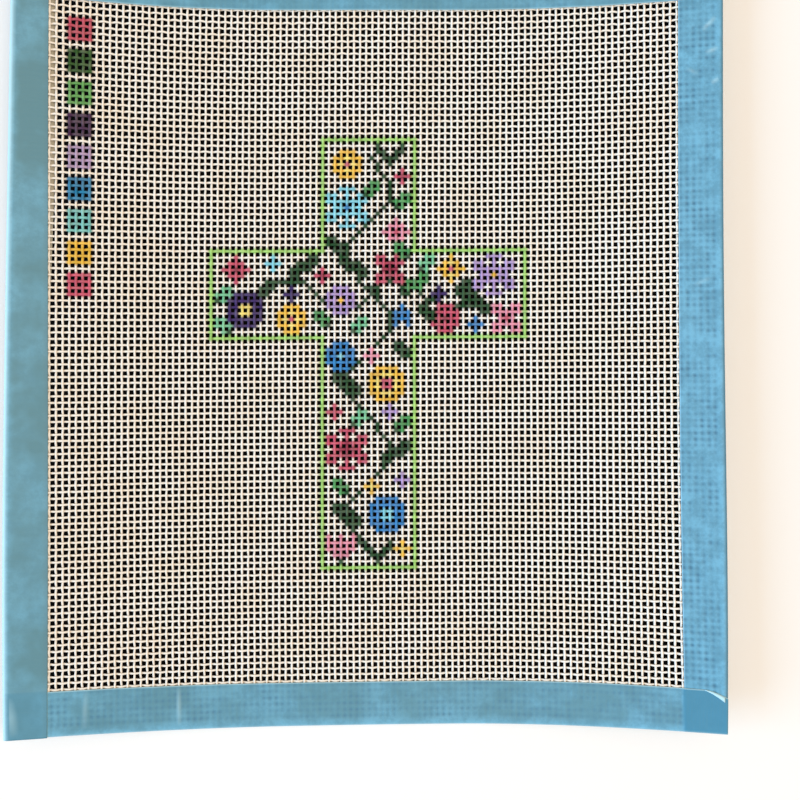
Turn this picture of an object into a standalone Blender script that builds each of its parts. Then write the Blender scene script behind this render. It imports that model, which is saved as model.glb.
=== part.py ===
"""Needlepoint canvas panel lying face up, its four raw edges bound with folded tape.

The panel is an open-weave canvas cut to a rough rectangle.  Four strips of crepe
tape are folded over its edges, half on the face and half on the back.  The sheet
has kept some of its roll's curl: the middle lies flat and both sides lift.

Sheet sizes are measured along the cloth, u to the right and v up the panel, from
the middle of the finished panel.  World axes: +X right, +Y up the panel, +Z out
of the painted face.  The origin is the middle of the panel, on the surface that
it lies on.
"""

import math

import bmesh
import bpy
import numpy as np
from mathutils import Vector

MM = 0.001

# Thicknesses of the sheet and of each tape flap, and the gap between neighbours
CANVAS_THICKNESS = 1.0 * MM
TAPE_THICKNESS = 1.0 * MM
GAP = 0.3 * MM

# Widths of the tape: the two flaps together, and what shows on the face
FLAPS_TOGETHER = 18.5 * MM
TOP_FACE_FLAP = 9.7 * MM
BOTTOM_FACE_FLAP = 10.1 * MM
LEFT_FACE_FLAP = 9.3 * MM
RIGHT_FACE_FLAP = 9.85 * MM
# How much wider a side flap grows from the panel's middle to its top edge
LEFT_FLAP_GROWTH = -1.33 * MM
RIGHT_FLAP_GROWTH = 0.37 * MM
# The bottom tape narrows from here to the right edge, where its corner is turned under
CORNER_TURN_START = 70.6 * MM
CORNER_TURN_DEPTH = 2.6 * MM

# Curl: a flat middle, then each side bends up by an angle that changes up the panel
FLAT_HALF_WIDTH = 18.0 * MM
CURL_REACH = 62.0 * MM
LEFT_CURL = math.radians(12.5)
LEFT_CURL_CHANGE = math.radians(5.0)
RIGHT_CURL = math.radians(14.1)
RIGHT_CURL_CHANGE = math.radians(-2.2)

# Outer edges of the bound panel in mm, before it is centred
HALF_HEIGHT = 87.0 * MM
SIDE_EDGES = (
    # v, left edge u, right edge u
    (87.0, -78.8, 80.3),
    (50.0, -79.4, 80.0),
    (10.0, -80.1, 79.8),
    (-25.0, -80.7, 80.0),
    (-56.0, -81.0, 80.0),
    (-89.0, -81.0, 79.7),
)
END_EDGES = (
    # u, top edge v, bottom edge v
    (-80.0, 86.2, -89.2),
    (-52.0, 86.6, -88.7),
    (-16.0, 86.1, -88.0),
    (21.0, 85.9, -87.7),
    (58.0, 86.4, -87.5),
    (80.0, 86.0, -87.1),
)
EDGE_CURVE_DEGREE = 4
PANEL_CENTRE_X = -0.32 * MM
PANEL_CENTRE_Y = -1.28 * MM

# How finely the curled sheet is divided
CURL_STEPS = 9
FLAT_STEPS = 2
HEIGHT_STEPS = 14
FLAP_STEPS = 2
FOLD_STEPS = 6

# Derived sizes of the folded tape's section
SLOT_HALF = CANVAS_THICKNESS / 2 + GAP
TAPE_OUTSIDE = SLOT_HALF + TAPE_THICKNESS
CANVAS_INSET = TAPE_OUTSIDE
MIDDLE_HEIGHT = TAPE_OUTSIDE

CANVAS_COLOUR = (0.86, 0.81, 0.72, 1.0)
TAPE_COLOUR = (0.17, 0.46, 0.62, 1.0)


def edge_curve(rows, column):
    """A smooth curve in metres through one column of an edge table."""
    along = [row[0] * MM for row in rows]
    across = [row[column] * MM for row in rows]
    return np.polynomial.Polynomial.fit(along, across, EDGE_CURVE_DEGREE)


LEFT_EDGE = edge_curve(SIDE_EDGES, 1)
RIGHT_EDGE = edge_curve(SIDE_EDGES, 2)
TOP_EDGE = edge_curve(END_EDGES, 1)
BOTTOM_EDGE = edge_curve(END_EDGES, 2)


def mix(start, end, share):
    """Straight blend from start to end."""
    return start + (end - start) * share


def on_sheet(u, v, lift):
    """World point at sheet place (u, v), lifted off the middle surface along its normal."""
    if u < 0:
        angle = LEFT_CURL + LEFT_CURL_CHANGE * v / HALF_HEIGHT
    else:
        angle = RIGHT_CURL + RIGHT_CURL_CHANGE * v / HALF_HEIGHT
    bend = angle / CURL_REACH
    slope = bend * max(abs(u) - FLAT_HALF_WIDTH, 0.0)
    side = math.copysign(1.0, u)
    x = side * (min(abs(u), FLAT_HALF_WIDTH) + math.sin(slope) / bend - math.sin(slope) * lift)
    z = (1.0 - math.cos(slope)) / bend + math.cos(slope) * lift
    return Vector((x - PANEL_CENTRE_X, v - PANEL_CENTRE_Y, z + MIDDLE_HEIGHT))


def left_flap(v, on_face):
    """Width of the left tape's flap on the face or on the back."""
    face = LEFT_FACE_FLAP + LEFT_FLAP_GROWTH * v / HALF_HEIGHT
    return face if on_face else FLAPS_TOGETHER - face


def right_flap(v, on_face):
    """Width of the right tape's flap on the face or on the back."""
    face = RIGHT_FACE_FLAP + RIGHT_FLAP_GROWTH * v / HALF_HEIGHT
    return face if on_face else FLAPS_TOGETHER - face


def top_flap(u, on_face):
    """Width of the top tape's flap on the face or on the back."""
    return TOP_FACE_FLAP if on_face else FLAPS_TOGETHER - TOP_FACE_FLAP


def bottom_flap(u, on_face):
    """Width of the bottom tape's flap, narrower on the face at its turned corner."""
    if not on_face:
        return FLAPS_TOGETHER - BOTTOM_FACE_FLAP
    corner_width = RIGHT_EDGE(-HALF_HEIGHT) - CORNER_TURN_START
    turned = min(max((u - CORNER_TURN_START) / corner_width, 0.0), 1.0)
    return BOTTOM_FACE_FLAP - CORNER_TURN_DEPTH * turned


def tape_section(face_flap, back_flap):
    """Outer and inner lines of a folded tape: (distance in from the fold, height) pairs."""
    outer = []
    inner = []
    for step in range(FLAP_STEPS):
        inward = mix(face_flap, TAPE_OUTSIDE, step / FLAP_STEPS)
        outer.append((inward, TAPE_OUTSIDE))
        inner.append((inward, SLOT_HALF))
    for step in range(FOLD_STEPS + 1):
        turn = math.pi * step / FOLD_STEPS
        for line, radius in ((outer, TAPE_OUTSIDE), (inner, SLOT_HALF)):
            line.append((TAPE_OUTSIDE - radius * math.sin(turn), radius * math.cos(turn)))
    for step in range(1, FLAP_STEPS + 1):
        inward = mix(TAPE_OUTSIDE, back_flap, step / FLAP_STEPS)
        outer.append((inward, -TAPE_OUTSIDE))
        inner.append((inward, -SLOT_HALF))
    return outer, inner


def back_share(lift):
    """0 at the face flap, 1 at the back flap, blended through the fold between them."""
    return min(max((SLOT_HALF - lift) / (2.0 * SLOT_HALF), 0.0), 1.0)


def seam(lift, line):
    """Where a tape ends against its neighbour's lip, which differs on face and back."""
    return mix(line(True), line(False), back_share(lift))


def stations_across():
    """Shares of the way across the sheet, with the flat middle's ends among them."""
    flat_share = FLAT_HALF_WIDTH / (FLAT_HALF_WIDTH + CURL_REACH)
    left = list(np.linspace(-1.0, -flat_share, CURL_STEPS + 1))
    middle = list(np.linspace(-flat_share, flat_share, FLAT_STEPS + 1))
    right = list(np.linspace(flat_share, 1.0, CURL_STEPS + 1))
    return left[:-1] + middle + right[1:]


def place_across(share, left_end, right_end):
    """Sheet u at a station: exact at the flat middle's ends, stretched to reach both edges."""
    nominal = share * (FLAT_HALF_WIDTH + CURL_REACH)
    if abs(nominal) <= FLAT_HALF_WIDTH:
        return nominal
    beyond = (abs(nominal) - FLAT_HALF_WIDTH) / CURL_REACH
    if nominal < 0:
        return mix(-FLAT_HALF_WIDTH, left_end, beyond)
    return mix(FLAT_HALF_WIDTH, right_end, beyond)


def side_tape_sections(edge, inward_sign, flap):
    """Sections of a tape on a side edge, from the panel's bottom to its top tape."""
    sections = []
    for share in np.linspace(0.0, 1.0, HEIGHT_STEPS + 1):
        v_guess = mix(BOTTOM_EDGE(edge(-HALF_HEIGHT)), TOP_EDGE(edge(HALF_HEIGHT)), share)
        outer, inner = tape_section(flap(v_guess, True), flap(v_guess, False))
        section = []
        for line in (outer, inner):
            points = []
            for inward, lift in line:
                u_low = edge(-HALF_HEIGHT) + inward_sign * inward
                u_high = edge(HALF_HEIGHT) + inward_sign * inward
                low = BOTTOM_EDGE(u_low)
                if inward_sign < 0:
                    low = seam(lift, lambda face, u=u_low: BOTTOM_EDGE(u) + bottom_flap(u, face) + GAP)
                high = seam(lift, lambda face, u=u_high: TOP_EDGE(u) - top_flap(u, face) - GAP)
                v = mix(low, high, share)
                points.append(on_sheet(edge(v) + inward_sign * inward, v, lift))
            section.append(points)
        sections.append(section)
    return sections


def end_tape_sections(edge, inward_sign, flap):
    """Sections of a tape on the top or bottom edge, from the left to the right."""
    sections = []
    for share in stations_across():
        u_guess = place_across(share, LEFT_EDGE(edge(0.0)), RIGHT_EDGE(edge(0.0)))
        outer, inner = tape_section(flap(u_guess, True), flap(u_guess, False))
        section = []
        for line in (outer, inner):
            points = []
            for inward, lift in line:
                v_guess = edge(u_guess) + inward_sign * inward
                left_end = LEFT_EDGE(v_guess)
                if inward_sign > 0:
                    left_end = seam(lift, lambda face, v=v_guess: LEFT_EDGE(v) + left_flap(v, face) + GAP)
                u = place_across(share, left_end, RIGHT_EDGE(v_guess))
                points.append(on_sheet(u, edge(u) + inward_sign * inward, lift))
            section.append(points)
        sections.append(section)
    return sections


def canvas_sections():
    """Upper and lower lines of the canvas sheet, one pair for each step up the panel."""
    sections = []
    for share in np.linspace(0.0, 1.0, HEIGHT_STEPS + 1):
        v_guess = mix(-HALF_HEIGHT, HALF_HEIGHT, share)
        section = []
        for lift in (CANVAS_THICKNESS / 2, -CANVAS_THICKNESS / 2):
            points = []
            for station in stations_across():
                left_end = LEFT_EDGE(v_guess) + CANVAS_INSET
                right_end = RIGHT_EDGE(v_guess) - CANVAS_INSET
                u = place_across(station, left_end, right_end)
                v = mix(BOTTOM_EDGE(u) + CANVAS_INSET, TOP_EDGE(u) - CANVAS_INSET, share)
                points.append(on_sheet(u, v, lift))
            section.append(points)
        sections.append(section)
    return sections


def loft(name, sections, material):
    """One closed solid through sections of two lines each, joined at the lips and ends."""
    mesh_builder = bmesh.new()
    rings = []
    for first_line, second_line in sections:
        points = list(first_line) + list(reversed(second_line))
        rings.append([mesh_builder.verts.new(point) for point in points])
    ring_size = len(rings[0])
    for ring, next_ring in zip(rings, rings[1:]):
        for index in range(ring_size):
            following = (index + 1) % ring_size
            mesh_builder.faces.new((ring[index], ring[following], next_ring[following], next_ring[index]))
    for ring in (rings[0], rings[-1]):
        for index in range(ring_size // 2 - 1):
            opposite = ring_size - 1 - index
            mesh_builder.faces.new((ring[index], ring[index + 1], ring[opposite - 1], ring[opposite]))
    bmesh.ops.recalc_face_normals(mesh_builder, faces=mesh_builder.faces)
    mesh = bpy.data.meshes.new(name)
    mesh_builder.to_mesh(mesh)
    mesh_builder.free()
    mesh.materials.append(material)
    body = bpy.data.objects.new(name, mesh)
    bpy.context.scene.collection.objects.link(body)
    return body


def matt_material(name, colour, roughness):
    """A plain Principled material."""
    material = bpy.data.materials.new(name)
    material.use_nodes = True
    shader = material.node_tree.nodes["Principled BSDF"]
    shader.inputs["Base Color"].default_value = colour
    shader.inputs["Roughness"].default_value = roughness
    shader.inputs["Metallic"].default_value = 0.0
    return material


def build_panel():
    """The canvas sheet and its four folded edge tapes."""
    for old in list(bpy.data.objects):
        bpy.data.objects.remove(old, do_unlink=True)
    canvas = matt_material("painted_canvas", CANVAS_COLOUR, 0.9)
    tape = matt_material("crepe_tape", TAPE_COLOUR, 0.6)
    loft("canvas", canvas_sections(), canvas)
    loft("tape_left", side_tape_sections(LEFT_EDGE, 1.0, left_flap), tape)
    loft("tape_right", side_tape_sections(RIGHT_EDGE, -1.0, right_flap), tape)
    loft("tape_top", end_tape_sections(TOP_EDGE, -1.0, top_flap), tape)
    loft("tape_bottom", end_tape_sections(BOTTOM_EDGE, 1.0, bottom_flap), tape)


build_panel()
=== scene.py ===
"""Scene for the needlepoint canvas panel: woven threads, painted cross and folded tapes.

Lengths are in metres, in the CAD's frame: +X right, +Y up the panel, +Z out of the
painted face, with the surface that it lies on at Z = 0.  A sheet place (u, v) is
measured along the curled cloth from the panel's middle, and a lift is the height off
its middle surface.  Warp threads run up the panel and weft threads across it, and
both are counted from the middle.
"""

import logging
import math
from dataclasses import dataclass, field
from enum import Enum
from typing import Any, Callable

import bpy
import numpy as np
from mathutils import Euler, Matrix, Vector


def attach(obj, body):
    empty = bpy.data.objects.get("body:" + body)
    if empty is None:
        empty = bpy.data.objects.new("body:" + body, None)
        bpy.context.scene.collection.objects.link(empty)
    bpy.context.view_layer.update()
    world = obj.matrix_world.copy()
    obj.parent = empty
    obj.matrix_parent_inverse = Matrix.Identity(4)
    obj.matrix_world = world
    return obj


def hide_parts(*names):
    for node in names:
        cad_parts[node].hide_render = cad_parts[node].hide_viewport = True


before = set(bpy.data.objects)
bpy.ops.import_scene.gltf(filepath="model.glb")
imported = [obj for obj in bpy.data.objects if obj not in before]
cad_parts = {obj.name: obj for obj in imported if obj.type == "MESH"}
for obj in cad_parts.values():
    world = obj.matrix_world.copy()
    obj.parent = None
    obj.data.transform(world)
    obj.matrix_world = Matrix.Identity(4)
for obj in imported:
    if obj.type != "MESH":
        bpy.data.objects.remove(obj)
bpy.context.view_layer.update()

log = logging.getLogger("needlepoint_panel")

MM = 0.001
BODY = "root"
BAKE_MAP = "OFBake"
YARN_MAP = "yarn_mm"
TAPE_MAP = "tape_mm"
PAINT_LAYER = "paint"
MARK_LAYER = "tape_wear"

Array = np.ndarray
Curve = np.polynomial.Polynomial
Colour = tuple[float, float, float, float]
Faces = list[tuple[int, ...]]
Material = bpy.types.Material
Tree = bpy.types.NodeTree
Node = bpy.types.Node
Socket = bpy.types.NodeSocket
Piece = bpy.types.Object

# Where things lie on a tape's bake map: its sides in the middle, and in the margins its
# closed ends and the turned corner
SIDES_START, SIDES_LENGTH, SIDES_GIRTH = 0.02, 0.96, 0.98
ENDS_START, ENDS_LENGTH = 0.0025, 0.015
TURNED_CORNER_START = (0.984, 0.01)
TURNED_CORNER_SIZE = (0.014, 0.96)


def linear(hex_code: str, alpha: float = 1.0) -> Colour:
    """Turn an sRGB hex colour into a linear RGBA colour.

    Args:
        hex_code: The colour, such as "#f6ecd9".
        alpha: The fourth value.

    Returns:
        Linear red, green and blue, and alpha.
    """
    channels = []
    for start in (1, 3, 5):
        value = int(hex_code[start:start + 2], 16) / 255.0
        channels.append(value / 12.92 if value <= 0.04045 else ((value + 0.055) / 1.055) ** 2.4)
    return (channels[0], channels[1], channels[2], alpha)


def smooth_step(value: Array) -> Array:
    """0 below 0, 1 above 1, and a smooth rise between."""
    share = np.clip(value, 0.0, 1.0)
    return share * share * (3.0 - 2.0 * share)


def mix(start: Array | float, end: Array | float, share: Array | float) -> Array:
    """Straight blend from start to end."""
    return start + (end - start) * share


@dataclass(frozen=True)
class SoftNoise:
    """Smooth repeatable unevenness: a few waves that cross at seeded angles."""

    wavelength: float
    seed: int
    waves: int = 7

    def at(self, x: Array, y: Array) -> Array:
        """Sample the unevenness.

        Args:
            x: First coordinates in metres.
            y: Second coordinates in metres.

        Returns:
            Values of about -1 to 1.
        """
        random = np.random.default_rng(self.seed)
        total = np.zeros(np.broadcast(x, y).shape)
        for _ in range(self.waves):
            angle, phase = random.uniform(0.0, 2.0 * math.pi, 2)
            turn = 2.0 * math.pi / (self.wavelength * random.uniform(0.7, 1.5))
            total += np.sin(turn * (x * math.cos(angle) + y * math.sin(angle)) + phase)
        return total / math.sqrt(self.waves)


@dataclass(frozen=True)
class CurledSheet:
    """The panel's middle surface: a flat middle, and two sides that lift as the CAD's do."""

    flat_half_width: float = 18.0 * MM
    curl_reach: float = 62.0 * MM
    half_height: float = 87.0 * MM
    left_curl: float = math.radians(12.5)
    left_curl_change: float = math.radians(5.0)
    right_curl: float = math.radians(14.1)
    right_curl_change: float = math.radians(-2.2)
    centre_x: float = -0.32 * MM
    centre_y: float = -1.28 * MM
    middle_height: float = 0.51 * MM

    def place(self, u: Array, v: Array, lift: Array | float) -> Array:
        """World points at sheet places.

        Args:
            u: Places across the sheet.
            v: Places up the sheet.
            lift: Heights off the middle surface, along its normal.

        Returns:
            Points, in a last axis of three.
        """
        u, v, lift = np.broadcast_arrays(u, v, lift)
        rise = v / self.half_height
        angle = np.where(
            u < 0.0,
            self.left_curl + self.left_curl_change * rise,
            self.right_curl + self.right_curl_change * rise,
        )
        bend = angle / self.curl_reach
        slope = bend * np.maximum(np.abs(u) - self.flat_half_width, 0.0)
        reach = np.minimum(np.abs(u), self.flat_half_width) + np.sin(slope) / bend
        x = np.sign(u) * (reach - np.sin(slope) * lift)
        z = (1.0 - np.cos(slope)) / bend + np.cos(slope) * lift
        return np.stack([x - self.centre_x, v - self.centre_y, z + self.middle_height], axis=-1)


@dataclass(frozen=True)
class ThreadCount:
    """Where the canvas's threads lie on the sheet: an even count with a slight skew."""

    pitch: float = 25.4 * MM / 18.0
    reach: float = 80.0 * MM
    row_stretch: float = 1.011
    row_bow: float = -0.35 * MM
    row_tilt: float = 0.66 * MM
    row_shift: float = 0.04 * MM
    column_bow: float = 0.25 * MM
    side_drift: float = 0.16 * MM
    corner_spread: float = 0.35 * MM
    corner_change: float = 0.63

    def _column_skew(self, s: Array, t: Array) -> Array:
        """How far right of its even place a column stands, at shares s and t of the reach."""
        spread = self.corner_spread * s**3 * t * t * (1.0 - self.corner_change * t)
        return self.column_bow * t * t + self.side_drift * s**4 + spread

    def _row_skew(self, s: Array, t: Array) -> Array:
        """How far above its even place a row stands, at shares s and t of the reach."""
        return self.row_bow * s * s + self.row_tilt * s + self.row_shift * t * t

    def on_sheet(self, across: Array, up: Array) -> tuple[Array, Array]:
        """Sheet places of points that are counted in thread pitches.

        Args:
            across: Pitches to the right of the middle.
            up: Pitches above the middle.

        Returns:
            The places u and v.
        """
        s = across * self.pitch / self.reach
        t = up * self.pitch / self.reach
        u = across * self.pitch + self._column_skew(s, t)
        v = self.row_stretch * up * self.pitch + self._row_skew(s, t)
        return u, v

    def counted(self, u: Array, v: Array) -> tuple[Array, Array]:
        """The pitches across and up at sheet places, the other way round from on_sheet."""
        s = u / self.reach
        t = v / (self.reach * self.row_stretch)
        across = (u - self._column_skew(s, t)) / self.pitch
        up = (v - self._row_skew(s, t)) / (self.row_stretch * self.pitch)
        return across, up

    def column_at(self, across: float, v: Array) -> Array:
        """The place u of one column, for places v up the sheet."""
        s = across * self.pitch / self.reach
        return across * self.pitch + self._column_skew(s, v / (self.reach * self.row_stretch))

    def row_at(self, up: float, u: Array) -> Array:
        """The place v of one row, for places u across the sheet."""
        t = up * self.pitch / self.reach
        return self.row_stretch * up * self.pitch + self._row_skew(u / self.reach, t)


@dataclass(frozen=True)
class PanelOutline:
    """The bound panel's outer edges on the sheet, and the lines that the tapes' lips follow."""

    # v, left edge u, right edge u, in millimetres
    side_edges: tuple[tuple[float, float, float], ...] = (
        (87.0, -78.8, 80.3),
        (50.0, -79.4, 80.0),
        (10.0, -80.1, 79.8),
        (-25.0, -80.7, 80.0),
        (-56.0, -81.0, 80.0),
        (-89.0, -81.0, 79.7),
    )
    # u, top edge v, bottom edge v, in millimetres
    end_edges: tuple[tuple[float, float, float], ...] = (
        (-80.0, 86.2, -89.2),
        (-52.0, 86.6, -88.7),
        (-16.0, 86.1, -88.0),
        (21.0, 85.9, -87.7),
        (58.0, 86.4, -87.5),
        (80.0, 86.0, -87.1),
    )
    curve_degree: int = 4
    half_height: float = 87.0 * MM
    # Each lip on the face lies along a thread, this many pitches from the middle
    left_lip: float = -50.62
    right_lip: float = 49.68
    top_lip: float = 53.46
    bottom_lip: float = -54.63
    back_flap: float = 8.7 * MM
    # The left tape's back flap reaches further in towards the top, where it shows through holes
    left_back_lip: float = -71.3 * MM
    left_back_slant: float = 1.4 * MM
    slant_start: float = -10.0 * MM
    slant_length: float = 60.0 * MM
    # The bottom tape's corner is turned under beyond here, at its right end
    corner_turn_start: float = 74.6 * MM
    corner_turn_width: float = 5.2 * MM
    corner_turn_depth: float = 1.6 * MM

    def _curve(self, rows: tuple[tuple[float, float, float], ...], column: int) -> Curve:
        """A smooth curve in metres through one column of an edge table."""
        along = [row[0] * MM for row in rows]
        across = [row[column] * MM for row in rows]
        return Curve.fit(along, across, self.curve_degree)

    def left(self) -> Curve:
        """The left edge: u for each v."""
        return self._curve(self.side_edges, 1)

    def right(self) -> Curve:
        """The right edge: u for each v."""
        return self._curve(self.side_edges, 2)

    def top(self) -> Curve:
        """The top edge: v for each u."""
        return self._curve(self.end_edges, 1)

    def bottom(self) -> Curve:
        """The bottom edge: v for each u."""
        return self._curve(self.end_edges, 2)

    def left_flap(self, v: Array, on_face: bool) -> Array:
        """The left tape's width on the face or the back."""
        if on_face:
            return COUNT.column_at(self.left_lip, v) - self.left()(v)
        slant = smooth_step((v - self.slant_start) / self.slant_length)
        return self.left_back_lip + self.left_back_slant * slant - self.left()(v)

    def right_flap(self, v: Array, on_face: bool) -> Array:
        """The right tape's width on the face or the back."""
        if on_face:
            return self.right()(v) - COUNT.column_at(self.right_lip, v)
        return self.back_flap + 0.0 * v

    def top_flap(self, u: Array, on_face: bool) -> Array:
        """The top tape's width on the face or the back."""
        if on_face:
            return self.top()(u) - COUNT.row_at(self.top_lip, u)
        return self.back_flap + 0.0 * u

    def bottom_flap(self, u: Array, on_face: bool) -> Array:
        """The bottom tape's width on the face or the back, narrower at its turned corner."""
        if on_face:
            width = COUNT.row_at(self.bottom_lip, u) - self.bottom()(u)
            return width - self.corner_turn_depth * self.corner_turn(u)
        return self.back_flap + 0.0 * u

    def corner_turn(self, u: Array) -> Array:
        """0 along the bottom tape, rising to 1 at the end of its turned corner."""
        share = (u - self.corner_turn_start) / (2.0 * self.corner_turn_width)
        return np.minimum(2.0 * smooth_step(share), 1.0)


SHEET = CurledSheet()
COUNT = ThreadCount()
OUTLINE = PanelOutline()


class Dye(Enum):
    """The paints on the canvas, as sRGB hex values."""

    GROUND = "#fbf9f2"
    LIME = "#a6d776"
    MOSS = "#1d4d27"
    LEAF = "#4a9a58"
    MINT = "#79c79b"
    PLUM = "#391f67"
    LILAC = "#b49bd0"
    BLUE = "#2f83c4"
    AQUA = "#86d3e4"
    GOLD = "#eebf45"
    LEMON = "#f5df7c"
    ROSE = "#c9556f"
    CRIMSON = "#9c334d"
    PINK = "#e596ac"
    KEY_RED = "#c0475f"
    KEY_MOSS = "#29561a"
    KEY_LEAF = "#64a559"
    KEY_PLUM = "#3b0e43"
    KEY_LILAC = "#b49bbd"
    KEY_BLUE = "#187fae"
    KEY_AQUA = "#7cc4c0"
    KEY_GOLD = "#efc03f"
    KEY_ROSE = "#cf5570"


class Motif(Enum):
    """Common flower and leaf charts: p petal, s shade, e eye, t stem, l leaf."""

    DAISY = ("..ppp..", "pp.p.pp", "pppsppp", ".psesp.", "pppsppp", "pp.p.pp", "..ppp..")
    ROUND_BLOOM = (".pppp.", "ppsspp", "pseesp", "pseesp", "ppsspp", ".pppp.")
    FOUR_PETALS = ("pp.pp", "ppspp", ".ses.", "ppspp", "pp.pp")
    PRIMROSE = (".ppp.", "ppspp", "psesp", "ppspp", ".ppp.")
    STAR = ("..p..", ".psp.", "ppepp", ".psp.", "..p..")
    TULIP = ("p.p.p", "ppspp", "ppspp", ".psp.", "..t..")
    BELL = (".p.", "psp", "psp", "p.p")
    BUD = (".p.", "psp", ".p.")
    LEAF_RISING = ("...ll", ".llll", "tlll.", "tt...")
    LEAF_FALLING = ("tt...", "tlll.", ".llll", "...ll")
    LEAFLET = (".ll", "lll", "tl.")
    LEAFLET_BACK = ("ll.", "lll", ".lt")
    TWIN_LEAVES = ("l...l", "ll.ll", ".ltl.", "..t..")


class Colourway(Enum):
    """The paints that stand for a motif's letters, in the order petal, shade, eye, leaf."""

    PLUM = (Dye.PLUM, Dye.PLUM, Dye.LEMON, Dye.LEAF)
    LILAC = (Dye.LILAC, Dye.LILAC, Dye.GOLD, Dye.LEAF)
    BLUE = (Dye.BLUE, Dye.BLUE, Dye.AQUA, Dye.LEAF)
    AQUA = (Dye.AQUA, Dye.AQUA, Dye.BLUE, Dye.LEAF)
    ROSE = (Dye.ROSE, Dye.ROSE, Dye.CRIMSON, Dye.LEAF)
    CRIMSON = (Dye.ROSE, Dye.CRIMSON, Dye.CRIMSON, Dye.LEAF)
    PINK = (Dye.PINK, Dye.PINK, Dye.ROSE, Dye.LEAF)
    GOLD = (Dye.GOLD, Dye.LEMON, Dye.ROSE, Dye.LEAF)
    DARK = (Dye.MOSS, Dye.MOSS, Dye.MOSS, Dye.MOSS)
    MID = (Dye.LEAF, Dye.LEAF, Dye.LEAF, Dye.LEAF)
    PALE = (Dye.MINT, Dye.MINT, Dye.MINT, Dye.MINT)


# Motif, colourway, and the chart column and row of its middle
PLACEMENTS = (
    (Motif.PRIMROSE, Colourway.GOLD, 22, 4),
    (Motif.TWIN_LEAVES, Colourway.DARK, 29, 3),
    (Motif.DAISY, Colourway.AQUA, 22, 11),
    (Motif.LEAFLET, Colourway.MID, 31, 10),
    (Motif.BUD, Colourway.CRIMSON, 31, 6),
    (Motif.STAR, Colourway.PINK, 30, 15),
    (Motif.LEAFLET_BACK, Colourway.DARK, 20, 17),
    (Motif.FOUR_PETALS, Colourway.CRIMSON, 29, 21),
    (Motif.LEAF_FALLING, Colourway.DARK, 23, 21),
    (Motif.PRIMROSE, Colourway.LILAC, 21, 26),
    (Motif.LEAF_RISING, Colourway.MID, 33, 24),
    (Motif.BELL, Colourway.BLUE, 31, 29),
    (Motif.LEAFLET, Colourway.PALE, 24, 30),
    (Motif.ROUND_BLOOM, Colourway.PLUM, 6, 28),
    (Motif.STAR, Colourway.ROSE, 4, 21),
    (Motif.LEAFLET, Colourway.DARK, 9, 24),
    (Motif.PRIMROSE, Colourway.GOLD, 13, 29),
    (Motif.BUD, Colourway.AQUA, 10, 20),
    (Motif.LEAF_RISING, Colourway.DARK, 15, 21),
    (Motif.LEAFLET_BACK, Colourway.MID, 18, 29),
    (Motif.BUD, Colourway.CRIMSON, 18, 22),
    (Motif.LEAFLET, Colourway.PALE, 2, 25),
    (Motif.PRIMROSE, Colourway.ROSE, 38, 29),
    (Motif.LEAFLET_BACK, Colourway.DARK, 35, 28),
    (Motif.STAR, Colourway.GOLD, 39, 21),
    (Motif.DAISY, Colourway.LILAC, 46, 22),
    (Motif.LEAF_FALLING, Colourway.DARK, 43, 27),
    (Motif.BUD, Colourway.BLUE, 43, 30),
    (Motif.FOUR_PETALS, Colourway.PINK, 48, 29),
    (Motif.LEAFLET, Colourway.PALE, 35, 20),
    (Motif.LEAFLET, Colourway.DARK, 41, 24),
    (Motif.PRIMROSE, Colourway.BLUE, 21, 35),
    (Motif.LEAFLET_BACK, Colourway.DARK, 31, 34),
    (Motif.ROUND_BLOOM, Colourway.GOLD, 29, 40),
    (Motif.LEAF_FALLING, Colourway.DARK, 22, 40),
    (Motif.BUD, Colourway.ROSE, 20, 44),
    (Motif.LEAFLET, Colourway.MID, 31, 46),
    (Motif.DAISY, Colourway.CRIMSON, 22, 50),
    (Motif.LEAF_RISING, Colourway.DARK, 30, 51),
    (Motif.LEAFLET_BACK, Colourway.MID, 21, 56),
    (Motif.BUD, Colourway.LILAC, 31, 55),
    (Motif.ROUND_BLOOM, Colourway.BLUE, 29, 61),
    (Motif.LEAF_FALLING, Colourway.DARK, 22, 61),
    (Motif.TULIP, Colourway.PINK, 21, 66),
    (Motif.TWIN_LEAVES, Colourway.DARK, 27, 67),
    (Motif.BUD, Colourway.GOLD, 31, 66),
    (Motif.LEAFLET, Colourway.MID, 26, 8),
    (Motif.BUD, Colourway.PLUM, 13, 25),
    (Motif.LEAFLET_BACK, Colourway.PALE, 2, 30),
    (Motif.BUD, Colourway.PLUM, 37, 25),
    (Motif.BUD, Colourway.LILAC, 29, 44),
    (Motif.LEAFLET_BACK, Colourway.MID, 31, 18),
    (Motif.BUD, Colourway.PINK, 26, 35),
    (Motif.LEAFLET, Colourway.PALE, 24, 45),
    (Motif.BUD, Colourway.GOLD, 26, 56),
)


@dataclass(frozen=True)
class Vine:
    """A painted stem that swings to and fro as it runs along an arm of the cross."""

    first: int
    last: int
    middle: float
    swing: float
    period: float
    phase: float

    def cells(self) -> list[tuple[int, int]]:
        """Charted places along the stem and across it, with no gap between neighbours."""
        places = []
        before = None
        for step in range(self.first, self.last + 1):
            angle = 2.0 * math.pi * (step - self.first) / self.period + self.phase
            offset = round(self.middle + self.swing * math.sin(angle))
            if before is not None and abs(offset - before) > 1:
                side = 1 if offset > before else -1
                places.extend((step, between) for between in range(before + side, offset, side))
            places.append((step, offset))
            before = offset
        return places


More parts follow.
